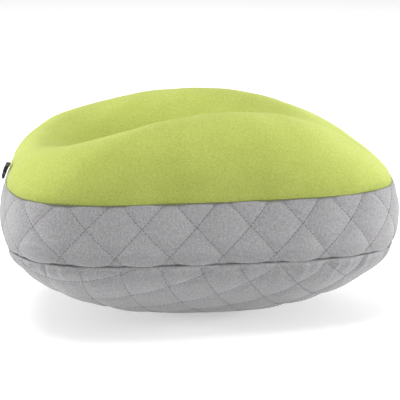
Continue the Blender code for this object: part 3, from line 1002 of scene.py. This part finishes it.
def gridFaces(builder, grid, wraps=False):
    for before, after in zip(grid, grid[1:]):
        for i in range(len(before) - (0 if wraps else 1)):
            j = (i + 1) % len(before)
            builder.faces.new((before[i], after[i], after[j], before[j]))


def slab(builder, outline, axis, low, high, soften=0.0):
    # an outline pushed from low to high along an axis, with its edges softened
    bottom, top = (vertsAt(builder, outline, axis, level) for level in (low, high))
    faces = [builder.faces.new(bottom), builder.faces.new(top)]
    for i in range(len(outline)):
        j = (i + 1) % len(outline)
        faces.append(builder.faces.new((bottom[i], bottom[j], top[j], top[i])))
    if soften:
        edges = list({edge for face in faces for edge in face.edges})
        bmesh.ops.bevel(
            builder, geom=edges, offset=soften, segments=2, profile=0.5, affect="EDGES", clamp_overlap=True
        )


def drawn(name, frame, draw, flat=None):
    # a piece drawn in a local frame; flat says which two axes its weave follows
    builder = bmesh.new()
    draw(builder)
    bmesh.ops.recalc_face_normals(builder, faces=builder.faces)
    mesh = bpy.data.meshes.new(name)
    builder.to_mesh(mesh)
    builder.free()
    local = np.array([vertex.co for vertex in mesh.vertices])
    mesh.transform(frame)
    mesh.shade_smooth()
    mesh.set_sharp_from_angle(angle=math.radians(42))
    piece = addObject(name, mesh)
    if flat:
        clothUv(piece, local[:, list(flat)])
    return piece


def rounded(halfWidth, halfHeight, radius, centre=(0, 0), steps=5):
    outline = []
    for quarter, (sx, sy) in enumerate(((1, 1), (-1, 1), (-1, -1), (1, -1))):
        for step in range(steps + 1):
            turn = (quarter + step / steps) * math.pi / 2
            outline.append((
                centre[0] + sx * (halfWidth - radius) + radius * math.cos(turn),
                centre[1] + sy * (halfHeight - radius) + radius * math.sin(turn),
            ))
    return outline


zipParts = {
    "halfLength": 0.075,
    "slit": 0.0008,
    "tapeFront": -0.0028,
    "tapeThickness": 0.0008,
    "tapeEdge": 0.0067,
    "bead": 0.0007,
    "toothPitch": 0.0030,
    "toothFront": -0.0005,
    "toothBack": -0.0026,
    "toothTip": 0.0006,
    "toothRoot": 0.0029,
    "stopLength": 0.0025,
    "tabReach": 0.0114,
}


def drawTape(sign):
    z = zipParts
    front, back = z["tapeFront"], z["tapeFront"] - z["tapeThickness"]
    middle, bead = (front + back) / 2, z["bead"]
    profile = [(back, z["tapeEdge"]), (front, z["tapeEdge"]), (front, z["slit"] + 2.2 * bead)]
    for turn in np.linspace(0.5, 1.5, 7) * math.pi:  # the corded edge that the teeth are moulded over
        profile.append((middle + 0.62 * bead * math.sin(turn), z["slit"] + bead + bead * math.cos(turn)))
    profile.append((back, z["slit"] + 2.2 * bead))

    def draw(builder):
        rings = []
        for x in np.linspace(-z["halfLength"], z["halfLength"], 101):
            sway = 0.00012 * math.sin(x * 330 + sign)
            rings.append([builder.verts.new((x, y + sway, sign * height)) for y, height in profile])
        gridFaces(builder, rings, wraps=True)
        builder.faces.new(rings[0])
        builder.faces.new(rings[-1])

    return draw


def drawTeeth(sign):
    # each tooth: a block clamped on the tape's cord, a neck and a rounded head
    z = zipParts
    span = 2 * (z["halfLength"] - z["stopLength"] - 0.0003)
    count = int(span / z["toothPitch"])
    half = [(0.00085, z["toothRoot"]), (0.00085, 0.0019), (0.0005, 0.0016), (0.0005, 0.0013),
            (0.0008, 0.00105), (0.00075, 0.0008), (0.0004, z["toothTip"])]

    def draw(builder):
        for tooth in range(count):
            x = (tooth + 0.5 - count / 2) * z["toothPitch"]
            outline = [(x + dx, sign * height) for dx, height in half]
            outline += [(x - dx, sign * height) for dx, height in half[::-1]]
            slab(builder, outline, 1, z["toothBack"], z["toothFront"], 0.00014)

    return draw


def drawStop(low, high, halfHeight, sign=0):
    z = zipParts
    centre = ((low + high) / 2, 0 if not sign else sign * (z["slit"] + z["toothRoot"]) / 2)
    reach = halfHeight if not sign else (z["toothRoot"] - z["slit"]) / 2

    def draw(builder):
        block = rounded((high - low) / 2, reach, 0.0005, centre)
        slab(builder, block, 1, z["toothBack"], z["toothFront"], 0.00022)
        rib = rounded((high - low) / 2 - 0.0008, reach * 0.8, 0.0003, centre)
        slab(builder, rib, 1, z["toothFront"] - 0.0002, z["toothFront"] + 0.0002, 0.00015)

    return draw


for side, sign in (("Upper", 1), ("Lower", -1)):
    node, half = side.lower(), zipParts["halfLength"]
    tape = drawn("zipTape" + side, zipFrame, drawTape(sign), (0, 2))
    finishPiece(tape, zipTape, replaces=["zip_tape_" + node])
    teeth = drawn("zipTeeth" + side, zipFrame, drawTeeth(sign))
    finishPiece(teeth, zipResin, replaces=["zip_teeth_" + node])
    stop = drawn("zipTopStop" + side, zipFrame, drawStop(half - zipParts["stopLength"], half, 0, sign))
    finishPiece(stop, zipMetal, replaces=["zip_top_stop_" + node])
drawBottomStop = drawStop(-half, -half + zipParts["stopLength"], zipParts["toothRoot"])
bottomStop = drawn("zipBottomStop", zipFrame, drawBottomStop)
finishPiece(bottomStop, zipMetal, replaces=["zip_bottom_stop"])


def padSheet(width, height, thickness, puff, hem):
    # a small stuffed patch: two faces that meet in a rounded rim, dimpled along a sewn line
    def draw(builder, centre, columns=36, rows=36):
        for side in (1, -1):
            grid = []
            for i in range(columns + 1):
                u = -math.cos(math.pi * i / columns)
                row = []
                for j in range(rows + 1):
                    v = -math.cos(math.pi * j / rows)
                    rim = (1 - abs(u) ** 8) * (1 - abs(v) ** 8)
                    inner = max(
                        abs(u) * width / 2 - (width / 2 - hem),
                        abs(v) * height / 2 - (height / 2 - hem),
                    )
                    sewn = math.exp(-((inner / 0.0006) ** 2))
                    swell = puff * ((1 - u**4) * (1 - v**4) - 0.6 * sewn)
                    rise = thickness / 2 * rim**0.4 + swell * rim
                    row.append(builder.verts.new((
                        centre[0] + u * width / 2,
                        centre[1] + side * max(rise, 0),
                        centre[2] + v * height / 2,
                        )))
                grid.append(row)
            gridFaces(builder, grid)
        bmesh.ops.remove_doubles(builder, verts=builder.verts, dist=0.00001)

    return draw


tabDraw = padSheet(zipParts["tabReach"], 2 * zipParts["tapeEdge"], zipParts["tapeThickness"], 0.00025, 0.0018)
for side, sign in (("Left", -1), ("Right", 1)):
    tabMiddle = sign * (zipParts["halfLength"] + 0.0003 + zipParts["tabReach"] / 2)
    centre = (tabMiddle, zipParts["tapeFront"] - 0.0004, 0)
    tab = drawn("zipEndTab" + side, zipFrame, lambda builder: tabDraw(builder, centre), (0, 2))
    finishPiece(tab, jersey, replaces=["zip_end_tab_" + side.lower()])


slider = {
    "at": 0.064,
    "halfLength": 0.005,
    "plate": 0.0010,
    "front": -0.0002,
    "rear": -0.0039,
    "cheek": 0.0032,
    "edge": 0.0042,
    "post": 0.0005,
    "pinAt": 0.0026,
    "pinRadius": 0.0006,
    "earLow": 0.0020,
    "ear": 0.0008,
}
pull = {"length": 0.024, "halfWidth": 0.0032, "thickness": 0.0012, "eyeRadius": 0.0015, "eyeHalf": 0.0017,
        "holeHalf": (0.0032, 0.0014), "holeAt": -0.0185}
sliderFrame = zipFrame @ Matrix.Translation((slider["at"], 0, 0))


def drawSlider(builder):
    s = slider
    half, front, rear = s["halfLength"], s["front"], s["rear"]
    # two leaves, wide at the nose and drawn in at the tail
    leaf = [(half, 0.0024), (half - 0.0012, 0.0040), (half - 0.0030, s["edge"]), (-half + 0.0020, s["edge"]),
            (-half + 0.0004, 0.0038), (-half, 0.0032)]
    outline = leaf + [(x, -z) for x, z in leaf[::-1]]
    slab(builder, outline, 1, front, front + s["plate"], 0.00025)
    slab(builder, outline, 1, rear - s["plate"], rear, 0.00025)
    for sign in (1, -1):  # flanges that run along the teeth
        low, high = sorted((sign * s["cheek"], sign * s["edge"]))
        slab(builder,
             [(-half + 0.0006, low), (half - 0.0026, low), (half - 0.0030, high), (-half + 0.0010, high)],
             1, -0.0025, front + 0.0002, 0.0001)
        low, high = sorted((sign * s["earLow"], sign * (s["earLow"] + s["ear"])))
        arch = [(-0.0019, front + 0.0008)]
        for turn in np.linspace(math.pi, 0, 9):
            arch.append((0.0015 * math.cos(turn), s["pinAt"] + 0.0015 * math.sin(turn)))
        arch += [(0.0019, front + 0.0008)]
        slab(builder, arch, 2, low, high, 0.00012)
    slab(builder, [(half - 0.0005, -0.0002), (half - 0.0005, 0.0002), (half - 0.0014, s["post"]),
                   (half - 0.0040, 0.0003), (half - 0.0040, -0.0003), (half - 0.0014, -s["post"])],
         1, rear - 0.0003, front + 0.0003)
    pin = [(s["pinRadius"] * math.cos(turn), s["pinAt"] + s["pinRadius"] * math.sin(turn))
           for turn in np.arange(14) * 2 * math.pi / 14]
    slab(builder, pin, 2, -s["earLow"] - s["ear"] / 2, s["earLow"] + s["ear"] / 2)


finishPiece(
    drawn("zipSlider", sliderFrame, drawSlider), zipMetal, "zip_slider", ["zip_slider"]
)
pullFrame = sliderFrame @ Matrix.Translation((0, slider["pinAt"], 0))


def ringSlab(builder, outer, inner, axis, low, high, soften):
    # a slab with a hole, from two outlines with the same number of points
    outerLow, outerHigh, innerLow, innerHigh = (
        vertsAt(builder, outline, axis, level) for outline in (outer, inner) for level in (low, high)
    )
    rim = []
    for i in range(len(outer)):
        j = (i + 1) % len(outer)
        builder.faces.new((outerLow[i], outerLow[j], innerLow[j], innerLow[i]))
        builder.faces.new((outerHigh[i], innerHigh[i], innerHigh[j], outerHigh[j]))
        for lowLoop, highLoop in ((outerLow, outerHigh), (innerLow, innerHigh)):
            face = builder.faces.new((lowLoop[i], lowLoop[j], highLoop[j], highLoop[i]))
            rim += [edge for edge in face.edges if edge.verts[0] in lowLoop and edge.verts[1] in lowLoop
                    or edge.verts[0] in highLoop and edge.verts[1] in highLoop]
    bmesh.ops.bevel(builder, geom=list(set(rim)), offset=soften, segments=2, profile=0.5, affect="EDGES")


def drawPull(builder):
    p = pull
    thick, eye = p["thickness"] / 2, p["eyeRadius"]
    bore = slider["pinRadius"] + 0.0003
    circle = np.arange(24) * 2 * math.pi / 24
    ringSlab(builder, [(eye * math.cos(t), eye * math.sin(t)) for t in circle],
             [(bore * math.cos(t), bore * math.sin(t)) for t in circle],
             2, -p["eyeHalf"], p["eyeHalf"], 0.00015)
    slab(builder, [(-0.0030, -thick), (-0.0030, thick), (-0.0010, thick), (-0.0010, -thick)], 2,
         -p["eyeHalf"], p["eyeHalf"], 0.00012)
    middle, half = (-p["length"] - 0.0024) / 2, (p["length"] - 0.0024) / 2
    outer = rounded(half, p["halfWidth"], 0.0022, (middle, 0), 7)
    inner = rounded(*p["holeHalf"], 0.0013, (p["holeAt"], 0), 7)
    ringSlab(builder, outer, inner, 1, -thick, thick, 0.00028)
    for rib in range(5):  # grip ribs
        x = -0.0050 - 0.0018 * rib
        for side in (thick, -thick):
            ridge = rounded(0.0004, 0.0021, 0.00039, (x, 0), 3)
            slab(builder, ridge, 1, side - 0.00016, side + 0.00016, 0.00008)


finishPiece(drawn("zipPull", pullFrame, drawPull), zipMetal, "zip_pull", ["zip_pull"])
print("zip made")


# The webbing loop and the blank label

loop = {"angle": math.radians(193), "halfWidth": 0.009, "rise": 0.0115, "lean": 0.0050, "spread": 0.0034,
        "tape": 0.0012, "standoff": 0.0023, "roll": 0.0015, "bow": 0.0009}
loopFrame = seamFrame(upperSeam, pillow["upperInset"], loop["angle"]) @ Matrix.Translation(
    (0, loop["standoff"], loop["roll"]))


def drawLoop(builder):
    # one strip of webbing, up the outer leg, over the fold and down the inner one
    o, levels = loop, np.linspace(0, 1, 25)
    outerReach = np.maximum(o["spread"] * np.sin(math.pi * levels**0.7) ** 0.7 / 2, o["tape"])
    innerReach = np.maximum(outerReach - o["tape"], 0.00005)
    lean, height = -o["lean"] * levels**1.6, o["rise"] * levels
    outside = list(zip(lean + outerReach, height)) + list(zip(lean - outerReach, height))[::-1]
    inside = list(zip(lean + innerReach, np.minimum(height, o["rise"] - o["tape"])))
    inside += list(zip(lean - innerReach, np.minimum(height, o["rise"] - o["tape"])))[::-1]
    rows = []
    for x in np.linspace(-1, 1, 19):
        edge = 1 - 0.25 * abs(x) ** 12
        bow = -o["bow"] * (1 - x * x) + 0.0003
        ring = [(y * edge + bow * (z / o["rise"]), z) for y, z in outside + inside[::-1]]
        rows.append([builder.verts.new((x * o["halfWidth"], y, z)) for y, z in ring])
    gridFaces(builder, rows, wraps=True)
    for row in (rows[0], rows[-1]):
        for i in range(len(outside) - 1):
            j, k = len(row) - 1 - i, len(row) - 2 - i
            builder.faces.new((row[i], row[i + 1], row[k], row[j]))


finishPiece(
    drawn("hangLoop", loopFrame, drawLoop, (0, 2)), webbing, "hang_loop", ["hang_loop"]
)

label = {
    "angle": math.radians(56),
    "halfWidth": 0.010,
    "drop": 0.026,
    "thickness": 0.0004,
    "standoff": 0.0006,
    "curl": 0.0012,
}
labelFrame = seamFrame(lowerSeam, pillow["lowerInset"], label["angle"])
labelFrame = labelFrame @ Matrix.Translation((0, label["standoff"], 0))


def drawLabel(builder, columns=20, rows=40):
    # a satin strip with a folded hem at its foot, curling outwards a little
    a, sheets = label, []
    for side in (1, 0):
        grid = []
        for i in range(columns + 1):
            u = i / columns * 2 - 1
            line = []
            for j in range(rows + 1):
                v = j / rows
                hem = 0.00025 * (1 / (1 + math.exp(-(v - 0.86) * 120)))
                curl = a["curl"] * v**2 * (0.6 + 0.4 * u) + 0.0002 * math.sin(3 * u + 5 * v)
                line.append(builder.verts.new((
                    u * a["halfWidth"], side * (a["thickness"] + hem) + curl + 0.0002,
                                               -a["drop"] * v)))
            grid.append(line)
        gridFaces(builder, grid)
        sheets.append(grid)
    front, back = sheets
    rim = [(i, 0) for i in range(columns)] + [(columns, j) for j in range(rows)]
    rim += [(i, rows) for i in range(columns, 0, -1)] + [(0, j) for j in range(rows, 0, -1)]
    for (i, j), (k, m) in zip(rim, rim[1:] + rim[:1]):
        builder.faces.new((front[i][j], front[k][m], back[k][m], back[i][j]))


careLabel = finishPiece(
    drawn("careLabel", labelFrame, drawLabel, (0, 2)), labelSatin, "care_label", ["care_label"]
)


def sewnRow(frame, points, normal=(0, 1, 0)):
    line = np.array([frame @ Vector(point) for point in points])
    out = np.array((frame.to_3x3() @ Vector(normal)).normalized())
    return line, np.broadcast_to(out, line.shape)


smallStitch = {"length": 0.0018, "gap": 0.0007, "radius": 0.00016, "dip": 0.00022, "lift": 0.00004}


def hemLines():
    # a row of stitches on each side of the zip, just outside the cloth's turned edge
    around, small = np.linspace(0, 2 * math.pi, 4000), 0.01
    open = around[slotHeight(around) > 0.9 * zipSlot["halfHeight"]]
    level = bandStart(open) + zipSlot["hem"] / bandHeight
    share = bellyEnd(open)
    step = lengthOf(bellyFace(share, open) - bellyFace(share - small, open))
    return [
        onCloth(bandCloth, bandFace, level, open),
        onCloth(bellyCloth, bellyFace, share - small * zipSlot["hem"] / step, open),
    ]


finishPiece(stitches("zipHemStitching", hemLines(), smallStitch), quiltThread)
tabRows = []
for sign in (-1, 1):
    middle = zipParts["halfLength"] + 0.0003 + zipParts["tabReach"] / 2
    ends = zipParts["tabReach"] / 2 - 0.0018
    front = zipParts["tapeFront"] + 0.00012
    corners = [(sign * middle - ends, front, -0.0049), (sign * middle + ends, front, -0.0049),
               (sign * middle + ends, front, 0.0049), (sign * middle - ends, front, 0.0049)]
    for first, second in zip(corners, corners[1:] + corners[:1]):
        walk = np.linspace(0, 1, 12)[:, None]
        tabRows.append(sewnRow(zipFrame, np.array(first) * (1 - walk) + np.array(second) * walk))
finishPiece(stitches("zipTabStitching", tabRows, smallStitch), quiltThread)
hemRow = []
for x in np.linspace(-0.0088, 0.0088, 24):
    curl = label["curl"] * 0.72 * (0.6 + 0.4 * x / label["halfWidth"])
    hemRow.append((x, 0.0002 + label["thickness"] + 0.0002 + curl, -0.0222))
finishPiece(
    stitches("labelStitching", [sewnRow(labelFrame, hemRow)], smallStitch), labelThread, "care_label"
)
barTack = []
for height in (0.0016, 0.0024, 0.0032):
    for side in (1, -1):
        reach = side * (loop["tape"] + 0.00018) - loop["lean"] * (height / loop["rise"]) ** 1.6
        row = [(x, reach, height) for x in np.linspace(-0.0078, 0.0078, 20)]
        barTack.append(sewnRow(loopFrame, row, (0, side, 0)))
finishPiece(stitches("loopStitching", barTack, smallStitch), blackThread, "hang_loop")
print("loop, label and sewn rows made")


# Studio

camera = {
    "azimuth": -1.6,
    "elevation": 13.29,
    "distance": 1.8,
    "height": 0.086,
    "lens": 173.75,
    "aim": 0.0124,
}


def addArea(name, place, target, size, power):
    light = bpy.data.lights.new(name, "AREA")
    light.shape = "DISK"
    light.size = size
    light.energy = power
    lamp = addObject(name, light)
    lamp.location = place
    lamp.rotation_euler = (Vector(target) - Vector(place)).to_track_quat("-Z", "Y").to_euler()


studio = {
    "world": 0.50,
    "floorGlow": 0.36,
    "floorHalf": 6,
    "lights": {  # place, what it is aimed at, size, power
        "overheadLight": ((-0.35, -0.25, 1.9), (0, 0, 0.1), 1.5, 24),
        "rearLight": ((0.3, 1.5, 1.2), (0, 0, 0.1), 1.2, 8),
        "leftLight": ((-1.5, 0.10, 0.13), (-0.1, 0, 0.1), 0.5, 16),
        "rightLight": ((1.5, 0.10, 0.13), (0.1, 0, 0.1), 0.5, 22),
        "frontFill": ((0.0, -1.9, 0.12), (0, 0, 0.06), 0.9, 3),
    },
}


def makeStudio():
    half = studio["floorHalf"]
    outline = [(-half, -half), (half, -half), (half, half), (-half, half)]
    floor = drawn("floor", Matrix.Identity(4), lambda builder: slab(builder, outline, 2, -0.02, 0))
    glow = {"Emission Color": (1, 1, 1, 1), "Emission Strength": studio["floorGlow"]}
    white = newMaterial("floorWhite", (0.92, 0.92, 0.92), 0.9, **glow)
    floor.data.materials.append(white)
    world = bpy.data.worlds.new("studio")
    bpy.context.scene.world = world
    world.use_nodes = True
    sky = world.node_tree.nodes["Background"]
    sky.inputs["Color"].default_value = (1, 1, 1, 1)
    sky.inputs["Strength"].default_value = studio["world"]
    for name, light in studio["lights"].items():
        addArea(name, *light)
    bpy.context.scene.view_settings.view_transform = "Standard"


def makeCamera(c):
    azimuth, elevation = math.radians(c["azimuth"]), math.radians(c["elevation"])
    level = math.cos(elevation)
    ahead = Vector((-math.sin(azimuth) * level, math.cos(azimuth) * level, -math.sin(elevation)))
    data = bpy.data.cameras.new("camera")
    data.lens = c["lens"]
    data.sensor_width = 36
    data.clip_end = 30
    view = addObject("camera", data)
    target = Vector((0, 0, c["height"]))
    view.location = target - ahead * c["distance"]
    side = Vector((math.cos(azimuth), math.sin(azimuth), 0))
    aim = target + side.cross(ahead) * c["aim"]
    view.rotation_euler = (aim - view.location).to_track_quat("-Z", "Y").to_euler()
    bpy.context.scene.camera = view


makeStudio()
makeCamera(camera)
print("studio ready")
